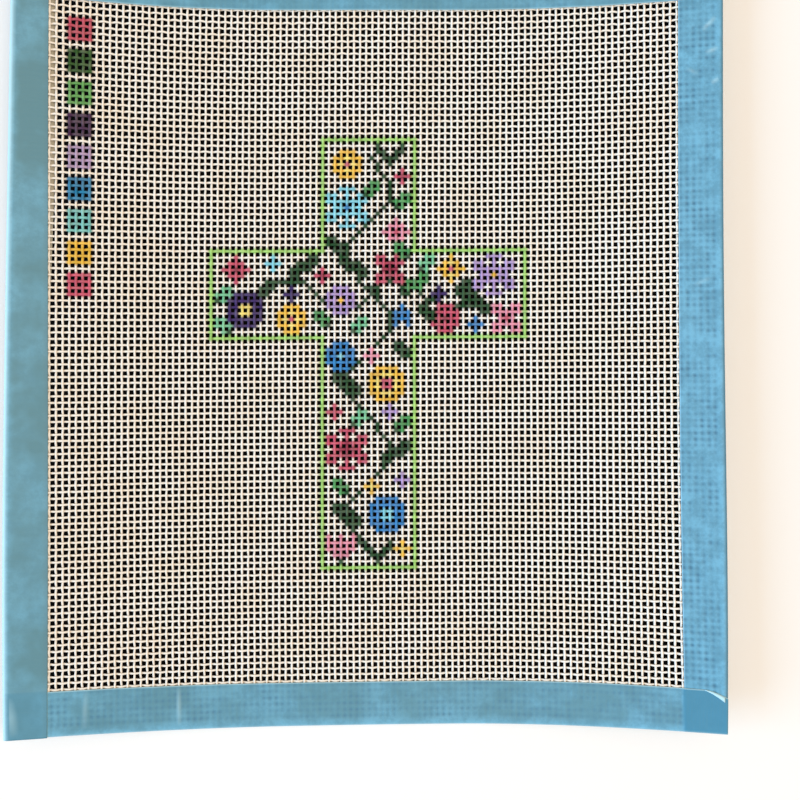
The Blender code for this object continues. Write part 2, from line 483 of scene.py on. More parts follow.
@dataclass
class PaintedDesign:
    """The paint on each crossing of the canvas: a cross of flowers and a colour key.

    The flowers are a plain design of this part's own, in common charted shapes.
    """

    first_warp: int
    last_warp: int
    first_weft: int
    last_weft: int
    columns: int = 52
    rows: int = 70
    arm_rows: tuple[int, int] = (18, 32)
    stem_columns: tuple[int, int] = (18, 33)
    cross_left_warp: int = -26
    cross_top_weft: int = 32
    key_left_warp: int = -48
    key_top_weft: int = 50
    key_patch: int = 4
    key_step: int = 5
    down_vine: Vine = Vine(3, 66, 25.5, 3.5, 21.0, 0.0)
    across_vine: Vine = Vine(2, 49, 25.0, 2.5, 17.0, 0.6)
    # How the brush's load varies from crossing to crossing, in coverage and in depth
    coverage_shares: tuple[float, float] = (0.93, 1.01)
    depth_shares: tuple[float, float] = (0.85, 1.15)
    full_coverage: float = 0.99
    ground_coverage: float = 0.5
    seed: int = 41
    cover: Array = field(init=False)

    def __post_init__(self) -> None:
        """Lay out bare canvas, then paint the cross and the key on it."""
        wefts = self.last_weft - self.first_weft + 1
        warps = self.last_warp - self.first_warp + 1
        self.cover = np.zeros((wefts, warps, 4))
        for (column, row), dye in self.cross().items():
            self._paint(self.cross_left_warp + column, self.cross_top_weft - row, dye)
        for (column, row), dye in self.colour_key().items():
            self._paint(self.key_left_warp + column, self.key_top_weft - row, dye)
        self._vary()

    def in_cross(self, column: int, row: int) -> bool:
        """Whether a charted place lies on the cross."""
        upright = self.stem_columns[0] <= column <= self.stem_columns[1] and 0 <= row < self.rows
        level = self.arm_rows[0] <= row <= self.arm_rows[1] and 0 <= column < self.columns
        return upright or level

    def on_border(self, column: int, row: int) -> bool:
        """Whether a charted place is on the one-thread border."""
        steps = [(across, down) for across in (-1, 0, 1) for down in (-1, 0, 1)]
        return not all(self.in_cross(column + across, row + down) for across, down in steps)

    def cross(self) -> dict[tuple[int, int], Dye]:
        """The dye at each charted place of the cross."""
        chart = {}
        for column in range(self.columns):
            for row in range(self.rows):
                if self.in_cross(column, row):
                    chart[(column, row)] = Dye.GROUND
        for row, column in self.down_vine.cells():
            chart[(column, row)] = Dye.MOSS
        for column, row in self.across_vine.cells():
            chart[(column, row)] = Dye.MOSS
        for motif, colourway, column, row in PLACEMENTS:
            self._stamp(chart, motif, colourway, column, row)
        for place in chart:
            if self.on_border(*place):
                chart[place] = Dye.LIME
        return chart

    def _stamp(
        self,
        chart: dict[tuple[int, int], Dye],
        motif: Motif,
        colourway: Colourway,
        column: int,
        row: int,
    ) -> None:
        """Draw one motif on the chart, only inside the cross.

        Args:
            chart: The chart to draw on.
            motif: The shape.
            colourway: Its paints.
            column: The column of its middle.
            row: The row of its middle.
        """
        petal, shade, eye, leaf = colourway.value
        dyes = {"p": petal, "s": shade, "e": eye, "l": leaf, "t": Dye.MOSS}
        lines = motif.value
        for down, line in enumerate(lines):
            for across, letter in enumerate(line):
                place = (column - len(line) // 2 + across, row - len(lines) // 2 + down)
                if letter in dyes and place in chart:
                    chart[place] = dyes[letter]

    def colour_key(self) -> dict[tuple[int, int], Dye]:
        """The dye at each place of the nine square patches beside the cross."""
        order = (
            Dye.KEY_RED,
            Dye.KEY_MOSS,
            Dye.KEY_LEAF,
            Dye.KEY_PLUM,
            Dye.KEY_LILAC,
            Dye.KEY_BLUE,
            Dye.KEY_AQUA,
            Dye.KEY_GOLD,
            Dye.KEY_ROSE,
        )
        chart = {}
        for number, dye in enumerate(order):
            for column in range(self.key_patch):
                for row in range(self.key_patch):
                    chart[(column, number * self.key_step + row)] = dye
        return chart

    def _paint(self, warp: int, weft: int, dye: Dye) -> None:
        """Lay one dye on a crossing."""
        coverage = self.ground_coverage if dye is Dye.GROUND else self.full_coverage
        self.cover[weft - self.first_weft, warp - self.first_warp] = linear(dye.value, coverage)

    def _vary(self) -> None:
        """Make the hand-laid paint a little thicker here and thinner there."""
        random = np.random.default_rng(self.seed)
        shape = self.cover.shape[:2]
        self.cover[..., 3] *= random.uniform(*self.coverage_shares, shape)
        self.cover[..., :3] *= random.uniform(*self.depth_shares, shape)[..., None]
        self.cover[...] = np.clip(self.cover, 0.0, 1.0)


def add_node(
    tree: Tree, kind: str, inputs: dict[str | int, Any] | None = None, **settings: Any
) -> Node:
    """Add a node with its settings and links.

    Args:
        tree: The node tree that the node joins.
        kind: The kind of node, which is Blender's name for it after ShaderNode.
        inputs: A socket to link, or a value to set, for each input by name or number.
        **settings: The node's own properties.

    Returns:
        The new node.
    """
    node = tree.nodes.new(f"ShaderNode{kind}")
    for name, value in settings.items():
        setattr(node, name, value)
    for name, value in (inputs or {}).items():
        if isinstance(value, Socket):
            tree.links.new(value, node.inputs[name])
        else:
            node.inputs[name].default_value = value
    return node


def new_material(name: str) -> tuple[Material, Tree]:
    """A material with an empty node tree, and that tree."""
    material = bpy.data.materials.new(name)
    material.use_nodes = True
    material.node_tree.nodes.clear()
    return material, material.node_tree


def set_ramp(node: Node, stops: list[tuple[float, Colour]]) -> None:
    """Give a colour ramp its stops.

    Args:
        node: The colour ramp.
        stops: Positions from 0 to 1 with their colours, in order.
    """
    elements = node.color_ramp.elements
    while len(elements) < len(stops):
        elements.new(1.0)
    for element, (position, colour) in zip(elements, stops):
        element.position = position
        element.color = colour


@dataclass(frozen=True)
class SizedCottonCanvas:
    """Woven cotton canvas, stiffened with starch size, with acrylic paint brushed on.

    The size glues the fibres flat, so the yarn looks smooth and a little waxy, and only a
    faint twist shows.  The paint soaks in thinly: it colours each thread, leaves the holes
    open, and is a little smoother than the cotton.
    """

    cotton: str = "#fefaf2"
    aged_cotton: str = "#fcf4e7"
    cotton_roughness: float = 0.78
    paint_roughness: float = 0.6
    # Cellulose fibre and acrylic both lie near 1.5
    ior: float = 1.5
    # Fibre ends break up half of the surface's shine
    shine: float = 0.25
    # A two-ply yarn of this count turns about once in 1.1 mm, which gives two ridges
    twist_ridge_mm: float = 0.55
    patch_size_mm: float = 9.0

    def make(self) -> Material:
        """Build the material.

        Returns:
            The finished material.
        """
        material, tree = new_material("sized_cotton_canvas")
        place = add_node(tree, "TexCoord")
        patches = add_node(
            tree,
            "TexNoise",
            {
                "Vector": place.outputs["Object"],
                "Scale": 1.0 / (self.patch_size_mm * MM),
                "Detail": 2.0,
            },
        )
        cotton = add_node(tree, "ValToRGB", {"Fac": patches.outputs["Fac"]})
        set_ramp(cotton, [(0.38, linear(self.aged_cotton)), (0.56, linear(self.cotton))])
        paint = add_node(tree, "VertexColor", layer_name=PAINT_LAYER)
        colour = add_node(
            tree,
            "Mix",
            {0: paint.outputs["Alpha"], 6: cotton.outputs["Color"], 7: paint.outputs["Color"]},
            data_type="RGBA",
        )
        roughness = add_node(
            tree,
            "MapRange",
            {
                "Value": paint.outputs["Alpha"],
                "To Min": self.cotton_roughness,
                "To Max": self.paint_roughness,
            },
        )
        shader = add_node(
            tree,
            "BsdfPrincipled",
            {
                "Base Color": colour.outputs[2],
                "Roughness": roughness.outputs["Result"],
                "IOR": self.ior,
                "Specular IOR Level": self.shine,
                "Sheen Weight": 0.06,
                "Sheen Roughness": 0.5,
                "Normal": self._yarn_relief(tree),
            },
        )
        add_node(tree, "OutputMaterial", {"Surface": shader.outputs["BSDF"]})
        return material

    def _yarn_relief(self, tree: Tree) -> Socket:
        """Bump of the yarn's twist and loose fibres.

        Args:
            tree: The material's node tree.

        Returns:
            The bent normal.
        """
        yarn = add_node(tree, "UVMap", uv_map=YARN_MAP)
        twist = add_node(
            tree,
            "TexWave",
            {
                "Vector": yarn.outputs["UV"],
                "Scale": 1.0 / self.twist_ridge_mm,
                "Distortion": 1.2,
                "Detail": 1.0,
            },
            bands_direction="DIAGONAL",
        )
        fibres = add_node(
            tree,
            "TexNoise",
            {"Vector": yarn.outputs["UV"], "Scale": 7.0, "Detail": 3.0, "Roughness": 0.6},
        )
        relief = add_node(
            tree,
            "Mix",
            {0: 0.45, 2: twist.outputs["Fac"], 3: fibres.outputs["Fac"]},
            data_type="FLOAT",
        )
        bump = add_node(
            tree, "Bump", {"Height": relief.outputs[0], "Strength": 0.35, "Distance": 0.04 * MM}
        )
        return bump.outputs["Normal"]


@dataclass(frozen=True)
class CrepeTape:
    """Crepe paper tape: crinkled paper soaked in resin, pressed down by hand.

    Fine crinkles run across its width and scatter the light, so it looks satin rather than
    glossy.  Its colour holds painted shade over the canvas's holes, at some folds and lips and
    as a greyer tone in patches, and a painted highlight along its lips and folds; its creases
    are pale from wear and painted highlight, and two layers look darker.
    """

    paper: str = "#73bbdc"
    blotch: str = "#5fa1bf"
    # Painted shade: a greyer tone laid in uneven patches, strongest on the left and bottom tapes
    painted_shade_tone: str = "#508695"
    # Painted shade where the tape bridges a hole of the canvas
    shade_over_holes: str = "#417a98"
    two_layers: str = "#3284a6"
    # Pale colour: painted highlight on lips and folds, wear and painted highlight in creases, and
    # the turned corner's pale back
    pale_wear_and_highlight: str = "#ccf5ff"
    roughness: float = 0.52
    # Paper filled with resin
    ior: float = 1.5
    # Real crepe lines lie about 0.35 mm apart, drawn a little coarser here so that they show
    crinkle_mm: float = 0.5
    crinkle_length_mm: float = 4.0
    blotch_size_mm: float = 4.0
    shade_patch_size_mm: float = 14.0

    def make(self) -> Material:
        """Build the material.

        Returns:
            The finished material.
        """
        material, tree = new_material("crepe_paper_tape")
        shader = add_node(
            tree,
            "BsdfPrincipled",
            {
                "Base Color": self._marked_paper(tree),
                "Roughness": self.roughness,
                "IOR": self.ior,
                "Normal": self._crinkles(tree),
            },
        )
        add_node(tree, "OutputMaterial", {"Surface": shader.outputs["BSDF"]})
        return material

    def _marked_paper(self, tree: Tree) -> Socket:
        """The paper's blotchy blue under its four kinds of marks.

        Args:
            tree: The material's node tree.

        Returns:
            The colour.
        """
        place = add_node(tree, "TexCoord").outputs["Object"]
        sizes = ((self.blotch_size_mm, 5.0, 0.75), (self.shade_patch_size_mm, 3.0, 0.6))
        blotches, shade_patches = (
            add_node(
                tree,
                "TexNoise",
                {"Vector": place, "Scale": 1.0 / (size * MM), "Detail": detail, "Roughness": rough},
            ).outputs["Fac"]
            for size, detail, rough in sizes
        )
        paper = add_node(tree, "ValToRGB", {"Fac": blotches})
        set_ramp(paper, [(0.4, linear(self.blotch)), (0.6, linear(self.paper))])
        tape_marks = add_node(tree, "VertexColor", layer_name=MARK_LAYER)
        limits = {"From Min": 0.38, "From Max": 0.6, "To Min": 0.5, "To Max": 1.1}
        patchy = add_node(tree, "MapRange", {"Value": shade_patches} | limits)
        # The painted shade tone's share, uneven in patches
        painted_shade_tone = add_node(
            tree,
            "Math",
            {0: tape_marks.outputs["Alpha"], 1: patchy.outputs["Result"]},
            operation="MULTIPLY",
            use_clamp=True,
        )
        parts = add_node(tree, "SeparateColor", {"Color": tape_marks.outputs["Color"]})
        colour = paper.outputs["Color"]
        # Laid on in turn: the painted shade tone, painted shade, two layers, then pale wear and
        # painted highlight
        for share, tint in (
            (painted_shade_tone.outputs["Value"], self.painted_shade_tone),
            (parts.outputs["Red"], self.shade_over_holes),
            (parts.outputs["Blue"], self.two_layers),
            (parts.outputs["Green"], self.pale_wear_and_highlight),
        ):
            tints = {0: share, 6: colour, 7: linear(tint)}
            colour = add_node(tree, "Mix", tints, data_type="RGBA").outputs[2]
        return colour

    def _crinkles(self, tree: Tree) -> Socket:
        """Bump of the crepe lines across the tape.

        Args:
            tree: The material's node tree.

        Returns:
            The bent normal.
        """
        along = add_node(tree, "UVMap", uv_map=TAPE_MAP)
        stretched = add_node(
            tree,
            "Mapping",
            {
                "Vector": along.outputs["UV"],
                "Scale": (1.0 / self.crinkle_mm, 1.0 / self.crinkle_length_mm, 1.0),
            },
        )
        lines = add_node(
            tree,
            "TexNoise",
            {"Vector": stretched.outputs["Vector"], "Scale": 1.0, "Detail": 3.0, "Roughness": 0.55},
        )
        bump = add_node(
            tree, "Bump", {"Height": lines.outputs["Fac"], "Strength": 0.8, "Distance": 0.08 * MM}
        )
        return bump.outputs["Normal"]


@dataclass(frozen=True)
class RubberAdhesive:
    """Natural rubber adhesive on the tape's inner side, a dull khaki film with a soft shine."""

    film: str = "#bdb9a8"
    roughness: float = 0.42
    ior: float = 1.52

    def make(self) -> Material:
        """Build the material.

        Returns:
            The finished material.
        """
        material, tree = new_material("rubber_adhesive")
        shader = add_node(
            tree,
            "BsdfPrincipled",
            {"Base Color": linear(self.film), "Roughness": self.roughness, "IOR": self.ior},
        )
        add_node(tree, "OutputMaterial", {"Surface": shader.outputs["BSDF"]})
        return material


@dataclass(frozen=True)
class MattCard:
    """Plain matt card or painted board, with a faint paper grain and no shine."""

    name: str
    colour: str
    roughness: float = 0.95
    shine: float = 0.1
    grain_mm: float = 2.0

    def make(self) -> Material:
        """Build the material.

        Returns:
            The finished material.
        """
        material, tree = new_material(self.name)
        place = add_node(tree, "TexCoord")
        grain = add_node(
            tree,
            "TexNoise",
            {"Vector": place.outputs["Object"], "Scale": 1.0 / (self.grain_mm * MM)},
        )
        bump = add_node(
            tree, "Bump", {"Height": grain.outputs["Fac"], "Strength": 0.1, "Distance": 0.02 * MM}
        )
        shader = add_node(
            tree,
            "BsdfPrincipled",
            {
                "Base Color": linear(self.colour),
                "Roughness": self.roughness,
                "Specular IOR Level": self.shine,
                "Normal": bump.outputs["Normal"],
            },
        )
        add_node(tree, "OutputMaterial", {"Surface": shader.outputs["BSDF"]})
        return material


@dataclass
class MeshDraft:
    """Points, faces, corner maps and point colours of one mesh, before Blender has it."""

    name: str
    points: Array
    faces: Faces
    maps: dict[str, Array]
    colours: dict[str, Array]
    # Which of the materials each face has
    finishes: Array = field(default_factory=lambda: np.zeros(0, dtype=int))

    def add(self, other: "MeshDraft") -> None:
        """Take in another draft's points and faces, with the same maps and colours."""
        mine = self.points.reshape(-1, 3)
        self.faces += [tuple(len(mine) + point for point in face) for face in other.faces]
        self.finishes = np.concatenate([self.finishes, np.zeros(len(other.faces), dtype=int)])
        self.points = np.concatenate([mine, other.points.reshape(-1, 3)])
        for name in self.maps:
            self.maps[name] = np.concatenate([self.maps[name], other.maps[name]])
        for name in self.colours:
            self.colours[name] = np.concatenate([self.colours[name], other.colours[name]])

    def finish(self, *materials: Material) -> Piece:
        """Make the object, smooth shaded.

        Args:
            *materials: The finishes, the first one for every face that has no other.

        Returns:
            The object, in the scene.
        """
        mesh = bpy.data.meshes.new(self.name)
        mesh.from_pydata(self.points.reshape(-1, 3).tolist(), [], self.faces)
        for name, corners in self.maps.items():
            layer = mesh.uv_layers.new(name=name)
            layer.data.foreach_set("uv", corners.astype(np.float32).ravel())
        for name, colours in self.colours.items():
            attribute = mesh.color_attributes.new(name, "FLOAT_COLOR", "POINT")
            attribute.data.foreach_set("color", colours.astype(np.float32).ravel())
        mesh.shade_smooth()
        for material in materials:
            mesh.materials.append(material)
        if len(self.finishes):
            mesh.polygons.foreach_set("material_index", self.finishes)
        piece = bpy.data.objects.new(self.name, mesh)
        bpy.context.scene.collection.objects.link(piece)
        return piece


class Lay(Enum):
    """Which way a thread runs."""

    WARP = "warp"
    WEFT = "weft"


@dataclass(frozen=True)
class ThreadSection:
    """A thread's cross-section: six sides, flattened top and bottom by the weave."""

    width: float = 0.5 * MM
    thickness: float = 0.32 * MM
    # Share of half the width, share of half the thickness, for each corner
    corners: tuple[tuple[float, float], ...] = (
        (1.0, 0.0), (0.62, 1.0), (-0.62, 1.0), (-1.0, 0.0), (-0.62, -1.0), (0.62, -1.0)
    )

    def perimeter(self) -> float:
        """The way round the section."""
        size = np.array([self.width, self.thickness]) / 2
        places = np.array(self.corners) * size
        steps = np.roll(places, -1, axis=0) - places
        return float(np.linalg.norm(steps, axis=1).sum())


@dataclass
class ThreadGroup:
    """Half of the canvas's warp or weft: whole threads that pass over and under the others."""

    name: str
    lay: Lay
    first: int
    last: int
    first_crossing: int
    last_crossing: int
    design: PaintedDesign
    seed: int
    section: ThreadSection = ThreadSection()
    # A thread lies level across each crossing for this share of a pitch, then slants to the next
    level_share: float = 0.5
    width_unevenness: float = 0.05
    # Pitches that a thread strays to the side, and its gain after it is eased
    wobble: float = 0.016
    wobble_gain: float = 1.4
    tail: float = 0.45
    painted_underside: float = 0.9
    # How much wider a thread is under thick paint
    paint_build: float = 0.17
    thin_paint: float = 0.82
    # Painted shade: a bare thread is painted browner beside and below, where shade falls between
    # threads
    thread_shade: str = "#a98c69"
    side_shade: float = 0.4
    under_shade: float = 0.6
    # The bake map's margins: above the threads, at a thread's ends and beside it
    map_margin: float = 0.02
    end_margin: float = 0.002
    side_margin: float = 0.04

    def _stations(self) -> tuple[Array, Array]:
        """Where each thread's rings stand.

        Returns:
            Pitches along the thread, and the crossing that each ring belongs to.
        """
        crossings = np.arange(self.first_crossing, self.last_crossing + 1)
        half = self.level_share / 2
        along = np.stack([crossings + 0.5 - half, crossings + 0.5 + half], axis=1).ravel()
        owner = np.repeat(np.arange(len(crossings)), 2)
        along = np.concatenate([[along[0] - self.tail], along, [along[-1] + self.tail]])
        owner = np.concatenate([[owner[0]], owner, [owner[-1]]])
        return along, owner

    def draft(self) -> MeshDraft:
        """Build the threads' mesh.

        Returns:
            The mesh draft.
        """
        random = np.random.default_rng(self.seed)
        numbers = np.arange(self.first, self.last + 1)
        along, owner = self._stations()
        shape = (len(numbers), len(along))
        crossing = np.arange(self.first_crossing, self.last_crossing + 1)[owner]
        over = (numbers[:, None] + crossing[None, :]) % 2 == (0 if self.lay is Lay.WARP else 1)
        lift = np.where(over, 0.5, -0.5) * self.section.thickness
        aside = numbers[:, None] + 0.5 + self._wander(random, shape)
        uneven = 1.0 + self.width_unevenness * random.uniform(-1.0, 1.0, shape)
        each = 1.0 + self.width_unevenness * random.uniform(-1.0, 1.0, (len(numbers), 1))
        width = self.section.width * uneven * each
        cover = self._cover(numbers, owner)
        width *= 1.0 + self.paint_build * (cover[..., 3] > self.thin_paint)
        points = self._rings(np.broadcast_to(along, shape), aside, lift, width)
        faces, maps = self._skin(shape, along, random)
        colours = {PAINT_LAYER: self._paint(cover)}
        return MeshDraft(self.name, points, faces, maps, colours)

    def _wander(self, random: np.random.Generator, shape: tuple[int, int]) -> Array:
        """How far each ring strays to the side, in pitches, eased along the thread."""
        stray = random.normal(0.0, self.wobble, shape)
        eased = stray.copy()
        eased[:, 1:-1] = (stray[:, :-2] + 2.0 * stray[:, 1:-1] + stray[:, 2:]) / 4.0
        return eased * self.wobble_gain

    def _rings(self, along: Array, aside: Array, lift: Array, width: Array) -> Array:
        """Points of every thread's rings.

        Args:
            along: Pitches along the thread, for each thread and ring.
            aside: Pitches to the side.
            lift: Height of the thread's middle.
            width: The thread's width there.

        Returns:
            Points for each thread, ring and corner.
        """
        corners = np.array(self.section.corners)
        reach = width[..., None] / 2 * corners[:, 0] / COUNT.pitch
        rise = lift[..., None] + self.section.thickness / 2 * corners[:, 1]
        sideways = aside[..., None] + reach
        lengthways = along[..., None] + 0.0 * reach
        if self.lay is Lay.WARP:
            u, v = COUNT.on_sheet(sideways, lengthways)
            return SHEET.place(u, v, rise)
        u, v = COUNT.on_sheet(lengthways, sideways)
        return SHEET.place(u, v, rise)[:, :, ::-1]

    def _skin(
        self, shape: tuple[int, int], along: Array, random: np.random.Generator
    ) -> tuple[Faces, dict[str, Array]]:
        """Faces and corner maps of every thread.

        Args:
            shape: The counts of threads and rings.
            along: Pitches along the thread at each ring.
            random: The group's random numbers.

        Returns:
            The faces, and the corner maps by name.
        """
        threads, rings = shape
        sides = len(self.section.corners)
        thread, ring, side = np.meshgrid(
            np.arange(threads), np.arange(rings - 1), np.arange(sides), indexing="ij"
        )
        thread, ring, side = thread.ravel(), ring.ravel(), side.ravel()
        ring_steps = np.array([0, 0, 1, 1])
        side_steps = np.array([0, 1, 1, 0])
        corner_ring = ring[:, None] + ring_steps
        corner_side = side[:, None] + side_steps
        index = (thread[:, None] * rings + corner_ring) * sides + corner_side % sides
        faces = [tuple(face) for face in index.tolist()]
        start = random.uniform(0.0, 50.0, threads)
        run = along[corner_ring] * COUNT.pitch / MM + start[thread][:, None]
        round_mm = corner_side / sides * self.section.perimeter() / MM
        yarn = np.stack([run, round_mm], axis=-1).reshape(-1, 2)
        bake_along = mix(self.end_margin, 1.0 - self.end_margin, corner_ring / (rings - 1))
        strip = (1.0 - self.map_margin) / threads
        beside = mix(self.side_margin, 1.0 - self.side_margin, corner_side / sides)
        bake_round = (thread[:, None] + beside) * strip
        bake = np.stack([bake_along, bake_round], axis=-1).reshape(-1, 2)
        caps, cap_yarn, cap_bake = self._caps(threads, rings, sides)
        maps = {
            YARN_MAP: np.concatenate([yarn, cap_yarn]), BAKE_MAP: np.concatenate([bake, cap_bake])
        }
        return faces + caps, maps

    def _caps(self, threads: int, rings: int, sides: int) -> tuple[Faces, Array, Array]:
        """Closed ends of every thread.

        Args:
            threads: How many threads there are.
            rings: How many rings each has.
            sides: How many corners each ring has.

        Returns:
            The end faces, and their corners in the yarn map and in the bake map.
        """
        faces = []
        bake = []
        angles = np.arange(sides) * 2.0 * math.pi / sides
        circle = np.stack([np.cos(angles), np.sin(angles)], axis=-1)
        cell = 1.0 / (2 * threads)
        for thread in range(threads):
            low = thread * rings * sides
            high = low + (rings - 1) * sides
            faces.append(tuple(reversed(range(low, low + sides))))
            faces.append(tuple(range(high, high + sides)))
            for end in (0, 1):
                middle = np.array([(2 * thread + end + 0.5) * cell, 1.0 - self.map_margin / 2])
                bake.append(middle + circle * np.array([0.4 * cell, 0.3 * self.map_margin]))
        yarn = np.tile(circle * 0.3, (2 * threads, 1))
        return faces, yarn, np.concatenate(bake)

    def _cover(self, numbers: Array, owner: Array) -> Array:
        """Paint colour and coverage at every ring.

        Args:
            numbers: The threads' numbers.
            owner: The crossing that each ring belongs to.

        Returns:
            Linear colours, with the coverage as alpha, for each thread and ring.
        """
        crossing = np.arange(self.first_crossing, self.last_crossing + 1)[owner]
        if self.lay is Lay.WARP:
            wefts, warps = crossing, numbers
        else:
            wefts, warps = numbers, crossing
        rows = self.design.cover[wefts - self.design.first_weft]
        cover = rows[:, warps - self.design.first_warp]
        return cover.transpose(1, 0, 2) if self.lay is Lay.WARP else cover

    def _paint(self, cover: Array) -> Array:
        """Colour and coverage at every point: paint above, and painted shade beside and below.

        Args:
            cover: Paint colour and coverage for each thread and ring.

        Returns:
            A colour for each thread, ring and corner, in one list.
        """
        corners = np.array(self.section.corners)
        up = corners[:, 1] if self.lay is Lay.WARP else corners[::-1, 1]
        colours = np.repeat(cover[:, :, None, :], len(corners), axis=2)
        colours[..., 3] *= np.where(up < 0.0, self.painted_underside, 1.0)
        # Painted shade: bare rings take its colour, and thinly painted rings are browner at the
        # sides and underneath
        colours[cover[..., 3] == 0.0] = linear(self.thread_shade, 0.0)
        thin = cover[..., 3] < self.thin_paint
        for corner in np.flatnonzero(up <= 0.0):
            share = self.side_shade if up[corner] == 0.0 else self.under_shade
            colours[thin, corner] = linear(self.thread_shade, share)
        return colours.reshape(-1, 4)

    def flat_size(self) -> tuple[float, float]:
        """Width across the threads and length along them, before the curl."""
        count = self.last - self.first + 1
        crossings = self.last_crossing - self.first_crossing + 1
        return count * COUNT.pitch, crossings * COUNT.pitch

    def dress(self, material: Material) -> Piece:
        """Make the group's piece, attach it to the body and hide the CAD canvas it stands for.

        Args:
            material: The canvas's finish.

        Returns:
            The piece.
        """
        piece = self.draft().finish(material)
        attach(piece, BODY)
        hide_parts("canvas")
        width, length = self.flat_size()
        return piece


@dataclass
class WovenCanvas:
    """The canvas: an even plain weave, with its cross and its colour key painted on."""

    first_warp: int = -55
    last_warp: int = 54
    first_weft: int = -60
    last_weft: int = 58
    seed: int = 7

    def groups(self) -> list[ThreadGroup]:
        """The four groups of threads, two each way."""
        design = PaintedDesign(self.first_warp, self.last_warp, self.first_weft, self.last_weft)
        warp = (self.first_weft, self.last_weft, design)
        weft = (self.first_warp, self.last_warp, design)
        return [
            ThreadGroup("warp_threads_left", Lay.WARP, self.first_warp, -1, *warp, self.seed),
            ThreadGroup("warp_threads_right", Lay.WARP, 0, self.last_warp, *warp, self.seed + 1),
            ThreadGroup("weft_threads_lower", Lay.WEFT, self.first_weft, -1, *weft, self.seed + 2),
            ThreadGroup("weft_threads_upper", Lay.WEFT, 0, self.last_weft, *weft, self.seed + 3),
        ]

    def build(self) -> list[Piece]:
        """Make every group of threads.

        Returns:
            The pieces.
        """
        material = SizedCottonCanvas().make()
        return [group.dress(material) for group in self.groups()]


class Side(Enum):
    """The edge of the panel that a tape binds."""

    RIGHT = "right"
    BOTTOM = "bottom"
    LEFT = "left"
    TOP = "top"


def tape_piece_name(side: Side) -> str:
    """The name of the piece that binds one edge."""
    return f"binding_{side.value}"


@dataclass(frozen=True)
class Crease:
    """A small straight wrinkle in a tape, between two sheet places in millimetres."""

    start: tuple[float, float]
    end: tuple[float, float]
    width: float = 0.4 * MM
    height: float = 0.08 * MM
    # How pale the wrinkle is, from wear and painted highlight, from 0 to 1
    pale_wear_and_highlight: float = 0.4

    def strength(self, u: Array, v: Array) -> Array:
        """1 on the wrinkle's ridge, and 0 away from it, at sheet places."""
        start = np.array(self.start) * MM
        run = np.array(self.end) * MM - start
        length = float(np.hypot(*run))
        along = ((u - start[0]) * run[0] + (v - start[1]) * run[1]) / length
        across = ((u - start[0]) * run[1] - (v - start[1]) * run[0]) / length
        taper = np.clip(1.0 - np.abs(2.0 * along / length - 1.0), 0.0, 1.0) ** 0.5
        return taper * np.exp(-((across / self.width) ** 2))


@dataclass(frozen=True)
class TapeMarks:
    """How strongly one strip of tape is marked in each way, from 0 to 1: painted shade and
    highlight.
    """

    # Painted shade over the canvas's holes
    shade_over_holes: float = 0.5
    # Painted highlight along the lip, then along the fold's outer line
    lip: float = 0.5
    fold: float = 0.0
    # Painted shade on the fold's outer line and in a strip beside the lip
    fold_shade: float = 0.0
    lip_shade: float = 0.0
    two_layers: float = 0.3
    # Painted shade tone that greys the tape
    painted_shade_tone: float = 0.6


@dataclass(frozen=True)
class TapeSection:
    """How a folded tape's section is shaped and divided."""

    thickness: float = 0.15 * MM
    outside: float = 0.51 * MM
    fold_reach: float = 0.6 * MM
    face_steps: int = 28
    fold_steps: int = 8
    back_steps: int = 9
    # Each inner step spans this many outer steps, on the face, in the fold and on the back
    inner_spans: tuple[int, int, int] = (7, 2, 3)

    def shares(self) -> tuple[Array, Array, Array]:
        """Where the outer points lie.

        Returns:
            For each point its face share (1 at the lip), its back share (1 at the lip), and
            the fold's angle (a quarter turn on the face, minus a quarter turn on the back).
        """
        face = np.linspace(1.0, 0.0, self.face_steps + 1)[:-1]
        turn = np.linspace(math.pi / 2, -math.pi / 2, self.fold_steps + 1)
        back = np.linspace(0.0, 1.0, self.back_steps + 1)[1:]
        face_share = np.concatenate([face, np.zeros(len(turn) + len(back))])
        back_share = np.concatenate([np.zeros(len(face) + len(turn)), back])
        ends = (np.full(len(face), math.pi / 2), turn, np.full(len(back), -math.pi / 2))
        return face_share, back_share, np.concatenate(ends)

    def inner_picks(self) -> list[int]:
        """The outer points that have an inner point under them."""
        picks = [0]
        parts = (self.face_steps, self.fold_steps, self.back_steps)
        for steps, span in zip(parts, self.inner_spans):
            start = picks[-1]
            picks.extend(start + offset for offset in range(span, steps + 1, span))
        return picks


@dataclass(frozen=True)
class TapePlaces:
    """A tape's outer points, and how each of them lies."""

    u: Array
    v: Array
    # Distances in from the outer edge, and in from the lip
    inward: Array
    from_lip: Array
    face_share: Array
    # The fold's angle
    turn: Array
    on_face: Array
    layered: Array
    # How far the tape sinks between the threads
    sunk: Array


